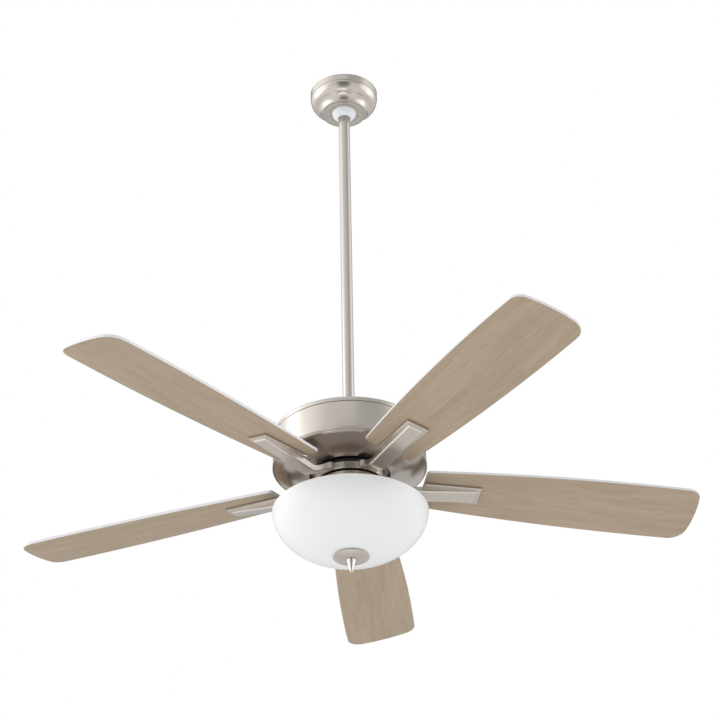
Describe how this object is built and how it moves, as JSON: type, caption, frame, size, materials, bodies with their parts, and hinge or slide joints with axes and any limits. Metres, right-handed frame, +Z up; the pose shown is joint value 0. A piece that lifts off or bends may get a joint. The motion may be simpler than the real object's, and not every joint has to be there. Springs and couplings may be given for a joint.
{
  "type": "ceiling fan with light",
  "caption": "Ceiling fan on a long downrod: a round canopy, a drum motor housing, pitched wooden blades on cast irons, and an opal glass bowl light held by a finial.",
  "frame": {"origin": "centre of the ceiling plane, where the hanger bracket's top face and the canopy's rim meet the ceiling", "axes": "+Z up along the fan's axis, out through the ceiling; +X along the bracket's two slots"},
  "size_m": [1.4691, 1.4431, 1.2485],
  "materials": {
    "satin_nickel": "spun steel, plated and brushed round, satin, warm",
    "cast_nickel": "cast arm, plated and brushed, satin",
    "bright_nickel": "turned and plated, polished",
    "oak_face": "thin plywood, weathered light oak face, pale edge",
    "opal_glass": "opal white glass, etched satin outside",
    "white_plastic": "moulded, fine matt",
    "bulb_white": "frosted diffuser",
    "zinc_steel": "zinc plated",
    "machined_steel": "ground bright",
    "dark_casting": "cast, black coated",
    "motor_aluminium": "die cast, bare",
    "core_steel": "stacked laminations, varnished",
    "copper_winding": "enamelled copper wire",
    "brass_stem": "threaded tube",
    "black_plastic": "moulded, fine matt",
    "rubber_pad": "soft washer"
  },
  "bodies": {
    "ceiling_mount": {"ceiling_bracket": "zinc_steel", "canopy": "satin_nickel", "canopy_screws": "bright_nickel"},
    "fan_frame": {"hanger_ball": "white_plastic", "ball_cross_pin": "zinc_steel", "downrod": "satin_nickel", "motor_yoke": "dark_casting", "clevis_pin": "zinc_steel", "hairpin": "zinc_steel", "yoke_set_screws": "zinc_steel", "coupling_cover": "satin_nickel", "upper_housing": "satin_nickel", "housing_screws": "zinc_steel", "lower_housing": "satin_nickel", "motor_shaft": "machined_steel", "bearing_inner_races": "machined_steel", "bearing_balls": "machined_steel", "stator_core": "core_steel", "stator_windings": "copper_winding", "neck_plate": "satin_nickel", "shaft_nut": "zinc_steel", "neck": "satin_nickel", "neck_screws": "bright_nickel", "capacitor": "black_plastic", "reverse_switch_body": "black_plastic", "lamp_body": "zinc_steel", "lamp_sockets": "white_plastic", "lamp_bulbs": "bulb_white", "stem": "brass_stem", "stem_nuts": "zinc_steel"},
    "rotor": {"bearing_outer_races": "machined_steel", "rotor_ring": "motor_aluminium", "rotor_case_upper": "motor_aluminium", "rotor_case_lower": "motor_aluminium", "rotor_case_screws": "zinc_steel", "flywheel": "dark_casting", "flywheel_screws": "zinc_steel", "iron_bolts": "zinc_steel", "blade_iron_1": "cast_nickel", "blade_iron_2": "cast_nickel", "blade_iron_3": "cast_nickel", "blade_iron_4": "cast_nickel", "blade_iron_5": "cast_nickel", "blade_1": "oak_face", "blade_2": "oak_face", "blade_3": "oak_face", "blade_4": "oak_face", "blade_5": "oak_face", "blade_washers": "rubber_pad", "blade_screws": "zinc_steel"},
    "bowl": {"glass_bowl": "opal_glass"},
    "finial": {"bowl_gasket": "rubber_pad", "finial_cap": "satin_nickel", "finial_knob": "bright_nickel"},
    "reverse_slider": {"reverse_switch_knob": "black_plastic"}
  },
  "joints": [
    {"name": "ball_tilt", "type": "hinge", "parent": "ceiling_mount", "child": "fan_frame", "pos_m": [0, 0, -0.045], "axis": [1, 0, 0], "range_deg": [-18, 18]},
    {"name": "rotor_spin", "type": "hinge", "parent": "fan_frame", "child": "rotor", "pos_m": [0, 0, -0.98], "axis": [0, 0, 1], "continuous": true},
    {"name": "bowl_drop", "type": "slide", "parent": "fan_frame", "child": "bowl", "axis": [0, 0, -1], "range_m": [0, 0.032]},
    {"name": "finial_unscrew", "type": "slide", "parent": "fan_frame", "child": "finial", "axis": [0, 0, -1], "range_m": [0, 0.048]},
    {"name": "reverse_switch", "type": "slide", "parent": "fan_frame", "child": "reverse_slider", "axis": [0, 0, -1], "range_m": [0, 0.006]}
  ],
  "couplings": [
    {"joint": "finial_unscrew", "follows": "bowl_drop", "ratio": 1.4}
  ]
}
